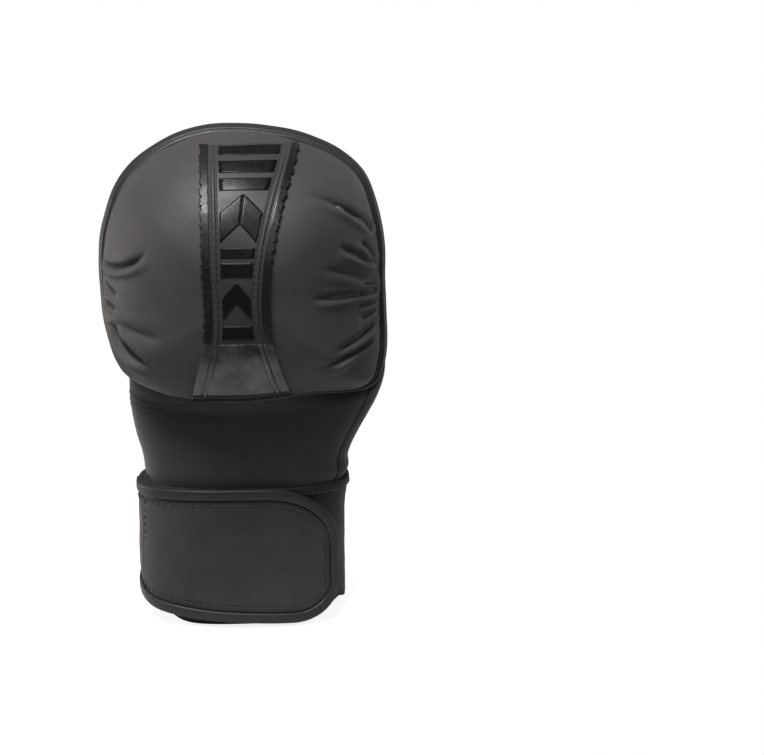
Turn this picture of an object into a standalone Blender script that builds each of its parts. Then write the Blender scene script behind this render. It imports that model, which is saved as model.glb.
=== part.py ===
"""A left-hand MMA sparring glove: a domed pad over open fingers, a soft wrist and a hook-and-loop strap.

Metres, +Z towards the fingertips, -Y the back of the hand, +X the thumb side. The glove stands on its cuff.
The wrist runs up the line x = 0, y = WRIST_Y, so that the box of the whole glove is centred on the origin.
"""

import math

import bmesh
import bpy
from mathutils import Vector

# Driving dimensions
WRIST_Y = 0.0143          # where the wrist's centre line stands in the frame
GAP = 0.0003              # clearance between two pieces that touch
OVAL_POWER = 2 / 2.6      # exponent of the rounded-oval sections of wrist and hand

# Cuff, at the wrist: half widths of the outside of each layer
CUFF_HALF_X = 0.0528
CUFF_HALF_Y = 0.0316
CUFF_HEIGHT = 0.0745
CUFF_BINDING = 0.005      # height of the bound edges
BINDING_PROUD = 0.0006
SHELL_THICK = 0.0032
LINING_THICK = 0.0012
SLIT_HALF_ANGLE = 8       # degrees, either side of the palm direction
LOOP_PATCH = (215, 308, 0.012, 0.058)      # first and last angle, lower and upper edge
ENTRY_GUSSET = (68, 112, 0.004, 0.060)     # the same, behind the slit
SLEEVE_LOW = 0.0610
SLEEVE_HIGH = 0.0920
SLEEVE_NARROWS = 0.0016   # how far it pulls in above the wrist hinge

# Strap: the free run starts at its hinge line on the little-finger side
STRAP_HALF_X = 0.0577
STRAP_HALF_Y = 0.0370
STRAP_THICK = 0.0028
STRAP_LOW = 0.0015
STRAP_HIGH = 0.0750
STRAP_CORNER = 0.027
STRAP_START_ANGLE = 180.4
STRAP_END_ANGLE = 322
STRAP_ROOT = (102, 179.6) # angles of the end that is sewn to the cuff
HOOK_PATCH = (0.046, 0.009, 0.024, 0.051)  # start and end before the free end, lower and upper edge
STRAP_EDGE = 0.0050       # width of the bound edge
STRAP_PROUD = 0.0004
PATCH_THICK = 0.0008

# Hand
WRIST_HINGE_Z = 0.079
HAND_LOW = 0.086
SLEEVE_THICK = 0.0010
PANEL_THICK = 0.0028
BACK_TOP = 0.1165
GUSSET_TOP = 0.1110
LIP_TOP = 0.1145          # of the thumb hole's bound edge
THUMB_SIDE_TOP = 0.1280
PALM_TOP = 0.1680
PALM_BINDING = 0.004
TRIM_THICK = 0.0012
PALM_PAD_THICK = 0.0020
HAND_SECTIONS = (         # height, centre x, half width, half depth
    (0.0860, 0.0000, 0.0541, 0.0325),
    (0.0902, 0.0003, 0.0552, 0.0325),
    (0.0975, 0.0010, 0.0580, 0.0325),
    (0.1090, 0.0031, 0.0624, 0.0323),
    (0.1160, 0.0046, 0.0647, 0.0320),
    (0.1330, 0.0068, 0.0672, 0.0310),
    (0.1420, 0.0062, 0.0668, 0.0305),
    (0.1500, 0.0040, 0.0650, 0.0300),
    (0.1740, 0.0010, 0.0620, 0.0285),
)

# Dome pad, around a centre line parallel to Y
DOME_Z = 0.180
CROWN_OUTER_Y = -0.0640
CROWN_INNER_Y = -0.0265
RIM_LIP = 0.0040          # how far the bound rim stands outside the cover
RIM_WALL = 0.0072         # thickness of all the pad's layers at the rim
RIM_WIDE = 0.0050
RIM_DEEP = 0.0074
COVER_THICK = 0.0015
DOME_POWER = 0.87
DOME_SPOKES = 36
DOME_RINGS = 7
RIM_POINTS = (            # outer edge of the bound rim: x, y from the wrist line, z
    (0.0754, 0.010, 0.1740), (0.0744, 0.016, 0.2045), (0.0635, 0.020, 0.2340), (0.0370, 0.022, 0.2513),
    (-0.0020, 0.023, 0.2580), (-0.0345, 0.022, 0.2525), (-0.0615, 0.020, 0.2335), (-0.0738, 0.016, 0.2050),
    (-0.0750, 0.010, 0.1740), (-0.0705, -0.002, 0.1480), (-0.0600, -0.020, 0.1325), (-0.0330, -0.036, 0.1240),
    (0.0000, -0.041, 0.1212), (0.0330, -0.036, 0.1240), (0.0640, -0.0225, 0.1240), (0.0740, -0.0090, 0.1375),
)

# Band down the middle of the dome: height, left edge x, right edge x
BAND_EDGES = (
    (0.1295, -0.0260, 0.0225), (0.1400, -0.0240, 0.0190), (0.1570, -0.0200, 0.0141), (0.1970, -0.0196, 0.0137),
    (0.2244, -0.0198, 0.0202), (0.2495, -0.0202, 0.0296),
)
BAND_TOP = 0.2486
LABEL_TOP = 0.1570
BAND_THICK = 0.0008
FILM_THICK = 0.0005
BAR_WIDE = 0.0048
BAND_ROWS = 26
BAND_RADIUS = 0.0720      # of the arc that spaces the band's rows
BAND_LIFT = 0.0007        # clearance under the band, whose facets cut across the dome's curve

# Finger loops under the dome: name, centre x, centre y from the wrist line, lower edge z
LOOPS = (
    ("index_loop", 0.0385, -0.0015, 0.176),
    ("middle_loop", 0.0130, -0.0120, 0.180),
    ("ring_loop", -0.0130, -0.0120, 0.178),
    ("little_loop", -0.0385, -0.0015, 0.172),
)
LOOP_HALF_X = 0.0117
LOOP_HALF_Y = 0.0107
LOOP_TALL = 0.022
LOOP_THICK = 0.0016
LOOP_STEPS = 16

# Name: base colour, roughness
MATERIALS = {
    "neoprene": ((0.018, 0.018, 0.019), 0.80),
    "synthetic_leather": ((0.031, 0.030, 0.031), 0.55),
    "binding": ((0.011, 0.011, 0.012), 0.60),
    "foam": ((0.10, 0.10, 0.11), 0.90),
    "lining": ((0.014, 0.014, 0.015), 0.90),
    "hook_and_loop": ((0.016, 0.016, 0.018), 0.95),
    "gloss_film": ((0.004, 0.004, 0.004), 0.15),
}


def clear_scene():
    for item in list(bpy.data.objects):
        bpy.data.objects.remove(item, do_unlink=True)


def material(name):
    found = bpy.data.materials.get(name)
    if found:
        return found
    colour, roughness = MATERIALS[name]
    made = bpy.data.materials.new(name)
    made.use_nodes = True
    shader = made.node_tree.nodes["Principled BSDF"]
    shader.inputs["Base Color"].default_value = (*colour, 1)
    shader.inputs["Roughness"].default_value = roughness
    shader.inputs["Metallic"].default_value = 0
    return made


# Shape helpers

def signed_power(value, power):
    return math.copysign(abs(value) ** power, value)


def oval(degrees, half_x, half_y):
    """A point of a rounded oval: 0 degrees is the thumb side, 90 the palm, 270 the back of the hand."""
    turn = math.radians(degrees)
    x = half_x * signed_power(math.cos(turn), OVAL_POWER)
    y = half_y * signed_power(math.sin(turn), OVAL_POWER)
    return x, y


def steps(start, end, count):
    """count + 1 even values from start to end."""
    return [start + (end - start) * i / count for i in range(count + 1)]


def table_value(table, key, column):
    """A smooth value between the rows of a table that is sorted by its first column."""
    rows = [row for row in table if row[0] <= key]
    low = rows[-1] if rows else table[0]
    above = [row for row in table if row[0] > key]
    high = above[0] if above else table[-1]
    if low is high or high[0] == low[0]:
        return low[column]
    part = min(1, max(0, (key - low[0]) / (high[0] - low[0])))
    return low[column] + (high[column] - low[column]) * part


def add_strip(mesh, first, second, wrap):
    """Triangles between two rows of vertices. A row of one vertex is a pole."""
    count = max(len(first), len(second))
    for i in range(count if wrap else count - 1):
        j = (i + 1) % count
        if len(second) == 1:
            mesh.faces.new((first[i], first[j], second[0]))
            continue
        mesh.faces.new((first[i], first[j], second[j]))
        mesh.faces.new((first[i], second[j], second[i]))


def thick_sheet(name, outer, inner, finish, wrap=False):
    """One closed solid between two matching grids of points, given as rows. wrap joins each row's ends."""
    mesh = bmesh.new()
    outside = [[mesh.verts.new((x, y + WRIST_Y, z)) for x, y, z in row] for row in outer]
    inside = [[mesh.verts.new((x, y + WRIST_Y, z)) for x, y, z in row] for row in inner]
    for grid in (outside, inside):
        for first, second in zip(grid, grid[1:]):
            add_strip(mesh, first, second, wrap)
    for end in (0, -1):
        if len(outside[end]) > 1:
            add_strip(mesh, outside[end], inside[end], wrap)
    if not wrap:
        for end in (0, -1):
            add_strip(mesh, [row[end] for row in outside], [row[end] for row in inside], False)
    bmesh.ops.recalc_face_normals(mesh, faces=mesh.faces)
    data = bpy.data.meshes.new(name)
    mesh.to_mesh(data)
    mesh.free()
    data.shade_smooth()
    data.set_sharp_from_angle(angle=math.radians(40))
    made = bpy.data.objects.new(name, data)
    made.data.materials.append(material(finish))
    bpy.context.scene.collection.objects.link(made)
    return made


def band(name, half_x, half_y, thick, low, high, finish, start=0, end=360, count=32, rows=1):
    """A wall of an upright oval tube, from one angle to another, or the whole way round."""
    wrap = end - start >= 360
    turns = steps(start, end, count)
    if wrap:
        turns = turns[:-1]
    outer = [[(*oval(a, half_x, half_y), z) for a in turns] for z in steps(low, high, rows)]
    inner = [[(*oval(a, half_x - thick, half_y - thick), z) for a in turns] for z in steps(low, high, rows)]
    return thick_sheet(name, outer, inner, finish, wrap)


# Cuff

def make_cuff():
    start = 90 + SLIT_HALF_ANGLE
    end = 450 - SLIT_HALF_ANGLE
    low = CUFF_BINDING + GAP
    high = CUFF_HEIGHT - CUFF_BINDING - GAP
    inset = SHELL_THICK + GAP
    lining_x = CUFF_HALF_X - inset
    lining_y = CUFF_HALF_Y - inset
    edge_x = CUFF_HALF_X + BINDING_PROUD
    edge_y = CUFF_HALF_Y + BINDING_PROUD
    edge_thick = SHELL_THICK + LINING_THICK + GAP + BINDING_PROUD
    patch = PATCH_THICK + GAP
    sleeve_inset = inset + LINING_THICK + GAP
    return [
        band("cuff_shell", CUFF_HALF_X, CUFF_HALF_Y, SHELL_THICK, low, high, "neoprene", start, end),
        band("cuff_lining", lining_x, lining_y, LINING_THICK, low, high, "lining", start, end),
        band("cuff_bottom_binding", edge_x, edge_y, edge_thick, 0, CUFF_BINDING, "binding", start, end),
        band("cuff_top_binding", edge_x, edge_y, edge_thick, CUFF_HEIGHT - CUFF_BINDING, CUFF_HEIGHT,
             "binding", start, end),
        band("loop_patch", CUFF_HALF_X + patch, CUFF_HALF_Y + patch, PATCH_THICK, *LOOP_PATCH[2:],
             "hook_and_loop", *LOOP_PATCH[:2], 14),
        band("entry_gusset", CUFF_HALF_X - sleeve_inset, CUFF_HALF_Y - sleeve_inset, LINING_THICK,
             *ENTRY_GUSSET[2:], "lining", *ENTRY_GUSSET[:2], 8),
        make_sleeve(CUFF_HALF_X - sleeve_inset, CUFF_HALF_Y - sleeve_inset),
        band("strap_root", STRAP_HALF_X, STRAP_HALF_Y, STRAP_HALF_X - CUFF_HALF_X - BINDING_PROUD - GAP,
             STRAP_LOW, STRAP_HIGH, "synthetic_leather", *STRAP_ROOT, 12),
    ]


def make_sleeve(half_x, half_y):
    """Thin stretch sleeve: sewn inside the cuff's top edge, and a little narrower where it enters the hand."""
    outer = []
    inner = []
    for z in steps(SLEEVE_LOW, SLEEVE_HIGH, 4):
        narrow = SLEEVE_NARROWS * max(0, z - WRIST_HINGE_Z) / (SLEEVE_HIGH - WRIST_HINGE_Z)
        turns = steps(0, 360, 32)[:-1]
        outer.append([(*oval(a, half_x - narrow, half_y - narrow), z) for a in turns])
        thin = narrow + SLEEVE_THICK
        inner.append([(*oval(a, half_x - thin, half_y - thin), z) for a in turns])
    return thick_sheet("wrist_sleeve", outer, inner, "lining", True)


# Strap

def strap_route():
    """The strap's run along the oval: arc length and angle, from the hinge line to the free end."""
    route = [(0.0, STRAP_START_ANGLE)]
    before = oval(STRAP_START_ANGLE, STRAP_HALF_X, STRAP_HALF_Y)
    for angle in steps(STRAP_START_ANGLE, STRAP_END_ANGLE, 300)[1:]:
        here = oval(angle, STRAP_HALF_X, STRAP_HALF_Y)
        route.append((route[-1][0] + math.dist(before, here), angle))
        before = here
    return route


def strap_point(route, along, z, deep):
    """A point of the strap at a length along it, a height, and a depth under its outer face."""
    angle = table_value(route, along, 1)
    return (*oval(angle, STRAP_HALF_X - deep, STRAP_HALF_Y - deep), z)


def tongue_limits(length, along, margin):
    """Lowest and highest z of the round-cornered tongue at a length along it, inside a margin."""
    radius = STRAP_CORNER - margin
    from_end = length - margin - along
    rise = 0.0
    if from_end < radius:
        rise = radius - math.sqrt(max(0, radius ** 2 - (radius - from_end) ** 2))
    return STRAP_LOW + margin + rise, STRAP_HIGH - margin - rise


def tongue_outline(length, margin):
    """Points (along, z) round the tongue's free edge: lower edge, round end, upper edge."""
    radius = STRAP_CORNER - margin
    low = STRAP_LOW + margin
    high = STRAP_HIGH - margin
    straight = length - margin - radius
    points = [(s, low) for s in steps(0, straight, 16)[:-1]]
    for a in steps(-90, 0, 5):
        turn = math.radians(a)
        points.append((straight + radius * math.cos(turn), low + radius + radius * math.sin(turn)))
    for a in steps(0, 90, 5):
        turn = math.radians(a)
        points.append((straight + radius * math.cos(turn), high - radius + radius * math.sin(turn)))
    points += [(s, high) for s in steps(straight, 0, 16)[1:]]
    return points


def make_strap():
    route = strap_route()
    length = route[-1][0]
    margin = STRAP_EDGE + GAP
    reach = length - margin
    radius = STRAP_CORNER - margin
    face_steps = steps(0, reach - radius, 16) + [reach - radius * (1 - math.sin(math.radians(a)))
                                                for a in (18, 36, 54, 70, 82)]
    columns = [(s, *tongue_limits(length, s, margin)) for s in face_steps]
    grids = []
    for deep in (0, STRAP_THICK):
        grids.append([[strap_point(route, s, low + (high - low) * part, deep) for s, low, high in columns]
                      for part in steps(0, 1, 3)])
    face = thick_sheet("strap_face", grids[0], grids[1], "synthetic_leather")

    outer_edge = tongue_outline(length, 0)
    inner_edge = tongue_outline(length, STRAP_EDGE)
    grids = []
    for deep in (-STRAP_PROUD, STRAP_THICK):
        grids.append([[strap_point(route, s, z, deep) for s, z in edge] for edge in (outer_edge, inner_edge)])
    binding = thick_sheet("strap_binding", grids[0], grids[1], "binding")

    top = STRAP_THICK + GAP
    before_end, after_start, patch_low, patch_high = HOOK_PATCH
    run = steps(length - before_end, length - after_start, 8)
    grids = []
    for deep in (top, top + PATCH_THICK):
        grids.append([[strap_point(route, s, z, deep) for s in run] for z in (patch_low, patch_high)])
    hook = thick_sheet("hook_patch", grids[0], grids[1], "hook_and_loop")
    return [face, binding, hook]


# Hand

def hand_point(angle, z, deep):
    centre = table_value(HAND_SECTIONS, z, 1)
    half_x = table_value(HAND_SECTIONS, z, 2)
    half_y = table_value(HAND_SECTIONS, z, 3)
    x, y = oval(angle, half_x - deep, half_y - deep)
    return x + centre, y, z


def hand_panel(name, start, end, low, high, finish, top=0.0, thick=PANEL_THICK, count=10, rows=4):
    """A panel of the hand, from one angle to another, its outer face at the depth top."""
    grids = []
    for deep in (top, top + thick):
        grids.append([[hand_point(a, z, deep) for a in steps(start, end, count)]
                      for z in steps(low, high, rows)])
    return thick_sheet(name, grids[0], grids[1], finish)


def make_hand():
    """The sewn panels round the hand: name, first and last angle, lower and upper edge, finish."""
    proud = -BINDING_PROUD
    wide = PANEL_THICK + 2 * BINDING_PROUD
    lip_low = GUSSET_TOP + GAP
    palm_low = GUSSET_TOP + 2 * GAP
    edge_low = PALM_TOP + GAP
    edge_high = PALM_TOP + PALM_BINDING
    seam_top = -GAP - TRIM_THICK
    pad_top = -GAP - PALM_PAD_THICK
    return [
        hand_panel("back_panel", 179.5, 327, HAND_LOW, BACK_TOP, "neoprene", count=20),
        hand_panel("back_seam_binding", 200, 282, 0.1070, 0.1130, "binding", seam_top, TRIM_THICK, 14, 1),
        hand_panel("thumb_gusset", 328, 421, HAND_LOW, GUSSET_TOP, "neoprene", count=16),
        hand_panel("thumb_side_panel", 345, 366, palm_low, THUMB_SIDE_TOP, "neoprene", count=4, rows=3),
        hand_panel("thumb_hole_lip", 367, 418, lip_low, LIP_TOP, "binding", proud, wide, 10, 1),
        hand_panel("palm_panel", 62, 150, palm_low, PALM_TOP, "synthetic_leather", count=12),
        hand_panel("palm_heel_panel", 64, 150, HAND_LOW, GUSSET_TOP, "synthetic_leather", count=12),
        hand_panel("palm_heel_pad", 74, 132, 0.0920, 0.1260, "synthetic_leather", pad_top, PALM_PAD_THICK,
                   8, 3),
        hand_panel("little_side_panel", 151, 177.5, HAND_LOW, PALM_TOP, "neoprene", count=6, rows=6),
        hand_panel("palm_edge_binding", 62, 177, edge_low, edge_high, "binding", proud, wide, 18, 1),
    ]


# Dome pad

def spline(a, b, c, d, part):
    """One coordinate of a Catmull-Rom curve between b and c."""
    square = part * part
    cube = square * part
    first = (c - a) * part
    second = (2 * a - 5 * b + 4 * c - d) * square
    third = (3 * b - a - 3 * c + d) * cube
    return 0.5 * (2 * b + first + second + third)


def rim_table(samples=24):
    """The rim as rows of (angle round the dome, radius, y), sorted by angle."""
    rows = []
    count = len(RIM_POINTS)
    for i in range(count):
        near = [RIM_POINTS[(i + k) % count] for k in (-1, 0, 1, 2)]
        for step in range(samples):
            x, y, z = (spline(*[p[axis] for p in near], step / samples) for axis in range(3))
            angle = math.degrees(math.atan2(z - DOME_Z, x)) % 360
            rows.append((angle, math.hypot(x, z - DOME_Z), y))
    rows.sort()
    first = rows[0]
    last = rows[-1]
    return [(last[0] - 360, *last[1:])] + rows + [(first[0] + 360, *first[1:])]


RIM = rim_table()


def rim_at(angle):
    return table_value(RIM, angle, 1), table_value(RIM, angle, 2)


def dome_pair(angle, out):
    """The outer and the inner surface point at an angle round the dome; out runs from 0, crown, to 1, rim."""
    radius, rim_y = rim_at(angle)
    turn = math.radians(angle)
    bend = out * math.pi / 2
    spread = math.sin(bend) ** DOME_POWER
    rise = max(0, math.cos(bend)) ** DOME_POWER
    pair = []
    for reach, crown in ((radius - RIM_LIP, CROWN_OUTER_Y), (radius - RIM_LIP - RIM_WALL, CROWN_INNER_Y)):
        far = reach * spread
        pair.append((far * math.cos(turn), rim_y + (crown - rim_y) * rise, DOME_Z + far * math.sin(turn)))
    return pair


def between(pair, deep):
    """The point at a depth under the outer surface, towards the inner one."""
    outer, inner = pair
    part = deep / math.dist(outer, inner)
    return tuple(a + (b - a) * part for a, b in zip(outer, inner))


def dome_layer(name, top, bottom, finish):
    """A layer of the pad. top and bottom turn the pad's thickness at a point into a depth under its face."""
    angles = steps(0, 360, DOME_SPOKES)[:-1]
    outer = []
    inner = []
    for out in steps(1, 0, DOME_RINGS):
        pairs = [dome_pair(a, out) for a in (angles if out > 0 else angles[:1])]
        outer.append([between(pair, top(math.dist(*pair))) for pair in pairs])
        inner.append([between(pair, bottom(math.dist(*pair))) for pair in pairs])
    return thick_sheet(name, outer, inner, finish, True)


def make_pad():
    cover = COVER_THICK
    half_gap = GAP / 2
    return [
        dome_layer("pad_cover", lambda t: 0, lambda t: cover, "synthetic_leather"),
        dome_layer("pad_soft_foam", lambda t: cover + GAP, lambda t: t / 2 - half_gap, "foam"),
        dome_layer("pad_dense_foam", lambda t: t / 2 + half_gap, lambda t: t - cover - GAP, "foam"),
        dome_layer("pad_lining", lambda t: t - cover, lambda t: t, "lining"),
        make_rim(),
    ]


def make_rim():
    """The bound rim behind the pad's edge: a flat ring that stands out past the cover."""
    angles = steps(0, 360, DOME_SPOKES)[:-1]
    grids = []
    for inset in (0, RIM_WIDE):
        rows = []
        for behind in (GAP, RIM_DEEP):
            row = []
            for angle in angles:
                radius, rim_y = rim_at(angle)
                turn = math.radians(angle)
                far = radius - inset
                row.append((far * math.cos(turn), rim_y + behind, DOME_Z + far * math.sin(turn)))
            rows.append(row)
        grids.append(rows)
    return thick_sheet("pad_rim_binding", grids[0], grids[1], "binding", True)


def on_dome(x, z, lift):
    """The point over (x, z) at a height above the pad's cover."""
    angle = math.degrees(math.atan2(z - DOME_Z, x)) % 360
    reach = rim_at(angle)[0] - RIM_LIP
    spread = min(1, math.hypot(x, z - DOME_Z) / reach)
    out = math.asin(spread ** (1 / DOME_POWER)) / (math.pi / 2)
    return between(dome_pair(angle, out), -lift)


def dome_film(name, left, right, low, high, lift, thick, finish, count, rows):
    """A strip on the dome. left and right give its edges' x at a height. Its rows are closer near the rim."""
    start = math.asin((low - DOME_Z) / BAND_RADIUS)
    end = math.asin((high - DOME_Z) / BAND_RADIUS)
    heights = [DOME_Z + BAND_RADIUS * math.sin(turn) for turn in steps(start, end, rows)]
    grids = []
    for height in (lift + thick, lift):
        grids.append([[on_dome(x, z, height) for x in steps(left(z), right(z), count)] for z in heights])
    return thick_sheet(name, grids[0], grids[1], finish)


def make_band():
    def left(z):
        return table_value(BAND_EDGES, z, 1)

    def right(z):
        return table_value(BAND_EDGES, z, 2)

    low = BAND_EDGES[0][0]
    bar_low = LABEL_TOP + 0.001
    film_lift = BAND_LIFT + BAND_THICK + GAP
    side = 0.0004
    return [
        dome_film("centre_band", left, right, low, BAND_TOP, BAND_LIFT, BAND_THICK, "synthetic_leather",
                  6, BAND_ROWS),
        dome_film("band_bar_left", lambda z: left(z) + side, lambda z: left(z) + BAR_WIDE, bar_low,
                  BAND_TOP - side, film_lift, FILM_THICK, "gloss_film", 1, BAND_ROWS),
        dome_film("band_bar_right", lambda z: right(z) - BAR_WIDE, lambda z: right(z) - side, bar_low,
                  BAND_TOP - side, film_lift, FILM_THICK, "gloss_film", 1, BAND_ROWS),
        dome_film("band_label", lambda z: left(z) + side, lambda z: right(z) - side, low + side, LABEL_TOP,
                  film_lift, FILM_THICK, "gloss_film", 6, 14),
    ]


# Finger loops

def make_loop(name, centre_x, centre_y, low):
    turns = steps(0, 360, LOOP_STEPS)[:-1]
    grids = []
    for deep in (0, LOOP_THICK):
        rows = []
        for z in (low, low + LOOP_TALL):
            row = []
            for angle in turns:
                x, y = oval(angle, LOOP_HALF_X - deep, LOOP_HALF_Y - deep)
                row.append((x + centre_x, y + centre_y, z))
            rows.append(row)
        grids.append(rows)
    return thick_sheet(name, grids[0], grids[1], "lining", True)


# Assembly

def hinge(name, x, y, z, parent=None):
    """An empty on a joint's axis. Its children keep their meshes in the glove's frame."""
    made = bpy.data.objects.new(name, None)
    made.location = (x, y + WRIST_Y, z)
    if parent:
        made.location = made.location - parent["place"]
        made.parent = parent["empty"]
    bpy.context.scene.collection.objects.link(made)
    return {"empty": made, "place": Vector((x, y + WRIST_Y, z))}


def hang(pieces, on):
    for piece in pieces:
        piece.parent = on["empty"]
        piece.location = -on["place"]


def main():
    clear_scene()
    make_cuff()
    hang(make_strap(), hinge("strap_hinge", -STRAP_HALF_X, 0, 0))
    wrist = hinge("wrist_hinge", 0, 0, WRIST_HINGE_Z)
    hang(make_hand() + make_pad() + make_band(), wrist)
    for name, x, y, low in LOOPS:
        seam = hinge(name + "_hinge", x, y - LOOP_HALF_Y, low, wrist)
        hang([make_loop(name, x, y, low)], seam)


main()
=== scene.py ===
"""The looks of the sparring glove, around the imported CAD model.

Metres, +Z to the fingertips, -Y the back of the hand, +X the thumb side. The shapes repeat part.py's at a finer
step: a rounded oval for wrist and hand, a strap wrapped round it, and a dome pad spread over a closed rim.
"""

import math

import bpy
import numpy as np
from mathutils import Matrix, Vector


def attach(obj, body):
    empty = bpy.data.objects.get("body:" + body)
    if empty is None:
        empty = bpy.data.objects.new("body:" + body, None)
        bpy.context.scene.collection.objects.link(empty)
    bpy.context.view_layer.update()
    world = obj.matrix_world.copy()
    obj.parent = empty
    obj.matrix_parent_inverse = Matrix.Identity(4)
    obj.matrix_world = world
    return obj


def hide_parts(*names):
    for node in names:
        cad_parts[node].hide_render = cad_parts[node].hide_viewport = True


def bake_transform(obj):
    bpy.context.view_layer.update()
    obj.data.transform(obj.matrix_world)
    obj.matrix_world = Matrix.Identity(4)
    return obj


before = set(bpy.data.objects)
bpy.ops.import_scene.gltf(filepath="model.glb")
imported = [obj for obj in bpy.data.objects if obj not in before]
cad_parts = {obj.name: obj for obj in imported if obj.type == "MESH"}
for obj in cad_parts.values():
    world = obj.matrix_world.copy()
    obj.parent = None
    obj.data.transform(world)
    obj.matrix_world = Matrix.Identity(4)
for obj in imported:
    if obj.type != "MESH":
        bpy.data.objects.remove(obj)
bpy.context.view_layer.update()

# Driving dimensions, as in part.py
WRIST_Y = 0.0143
OVAL_POWER = 2 / 2.6
CUFF_HALF_X = 0.0528
CUFF_HALF_Y = 0.0316
CUFF_HEIGHT = 0.0745
CUFF_BINDING = 0.0050
SHELL_THICK = 0.0032
LINING_THICK = 0.0012
SLIT_HALF_ANGLE = 8
LOOP_FIELD = (215, 308, 0.012, 0.058)      # first and last angle, lower and upper edge
GUSSET_WEB = (68, 112, 0.004, 0.070)
STRAP_HALF_X = 0.0577
STRAP_HALF_Y = 0.0370
STRAP_THICK = 0.0028
STRAP_LOW_LINE = (           # length along the strap from the hinge, height
    (-0.004, 0.0150), (0.006, 0.0145), (0.012, 0.0125), (0.023, 0.0092), (0.043, 0.0062), (0.062, 0.0040),
    (0.090, 0.0022), (0.150, 0.0016),
)
STRAP_HIGH_LINE = ((-0.004, 0.0738), (0.030, 0.0746), (0.060, 0.0752), (0.090, 0.0750), (0.150, 0.0745))
LOW_CORNER = (0.027, 0.021)  # how far along and how far up the tongue's corner turns
HIGH_CORNER = (0.040, 0.034)
STRAP_START_ANGLE = 180.4
STRAP_END_ANGLE = 322
STRAP_EDGE = 0.0055
STRAP_SEAM = 0.0165          # length along the strap of the seam across it
HAND_SECTIONS = np.array((   # height, centre x, half width, half depth
    (0.0700, 0.0003, 0.0490, 0.0297),
    (0.0740, 0.0003, 0.0514, 0.0311),
    (0.0785, 0.0005, 0.0536, 0.0322),
    (0.0860, 0.0000, 0.0541, 0.0325),
    (0.0902, 0.0003, 0.0552, 0.0325),
    (0.0975, 0.0010, 0.0580, 0.0325),
    (0.1090, 0.0031, 0.0624, 0.0323),
    (0.1160, 0.0046, 0.0647, 0.0320),
    (0.1330, 0.0068, 0.0672, 0.0310),
    (0.1420, 0.0062, 0.0668, 0.0305),
    (0.1500, 0.0040, 0.0650, 0.0300),
    (0.1740, 0.0010, 0.0620, 0.0285),
))
NECK_LOW = 0.0700
GUSSET_TOP = 0.1125
PALM_TOP = 0.1680
PANEL_THICK = 0.0028
DORSAL_SEAM = 328
THUMB_EDGE = 421             # degrees round the hand, where the thumb hole meets the palm
DEGREE_WIDE = 0.0009         # about how far a degree reaches round the hand
DOME_Z = 0.180
CROWN_OUTER_Y = -0.0640
CROWN_INNER_Y = -0.0265
RIM_LIP = np.array((          # angle round the dome, how far its cover stops inside the rim's edge
    (0, 0.0044), (45, 0.0040), (90, 0.0036), (135, 0.0036), (165, 0.0030), (190, 0.0024), (212, 0.0006),
    (235, 0.0012), (252, 0.0034), (300, 0.0040), (345, 0.0046), (360, 0.0044),
))
RIM_WALL = 0.0072
RIM_WIDE = 0.0050
RIM_DEEP = 0.0074
COVER_THICK = 0.0015
DOME_POWER = 0.87
RIM_POINTS = np.array((
    (0.0754, 0.010, 0.1740), (0.0744, 0.016, 0.2045), (0.0635, 0.020, 0.2340), (0.0370, 0.022, 0.2513),
    (-0.0020, 0.023, 0.2580), (-0.0345, 0.022, 0.2525), (-0.0615, 0.020, 0.2335), (-0.0738, 0.016, 0.2050),
    (-0.0750, 0.010, 0.1740), (-0.0705, -0.002, 0.1480), (-0.0600, -0.020, 0.1325), (-0.0330, -0.036, 0.1240),
    (0.0000, -0.041, 0.1212), (0.0330, -0.036, 0.1240), (0.0640, -0.0225, 0.1240), (0.0740, -0.0090, 0.1375),
))
BAND_EDGES = np.array((      # height, left edge x, right edge x
    (0.1262, -0.0268, 0.0232), (0.1400, -0.0240, 0.0190), (0.1570, -0.0200, 0.0141), (0.1970, -0.0196, 0.0137),
    (0.2244, -0.0198, 0.0202), (0.2495, -0.0202, 0.0296),
))
BAND_TOP = 0.2495
LABEL_TOP = 0.1570
BAR_WIDE = 0.0040
BAND_SEAMS = (0.0047, 0.0073)   # needle lines, inwards from the band's edges
BAND_INNER = 0.0084          # from an edge to the printed blocks
BAND_ARC = 0.072             # radius that spreads the band's rows evenly over the dome
PRINT_BACK = 0.0008          # how far over the cover a print's back lies
LOOPS = {                    # node: centre x, centre y from the wrist line, lower edge z
    "index_loop": (0.0385, -0.0015, 0.176),
    "middle_loop": (0.0130, -0.0120, 0.180),
    "ring_loop": (-0.0130, -0.0120, 0.178),
    "little_loop": (-0.0385, -0.0015, 0.172),
}
LOOP_HALF_X = 0.0117
LOOP_HALF_Y = 0.0107
LOOP_TALL = 0.022
LOOP_THICK = 0.0016
LOOP_POWER = 0.90
FINE_THREAD = 0.0003
UP = np.array((0.0, 0.0, 1.0))

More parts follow.
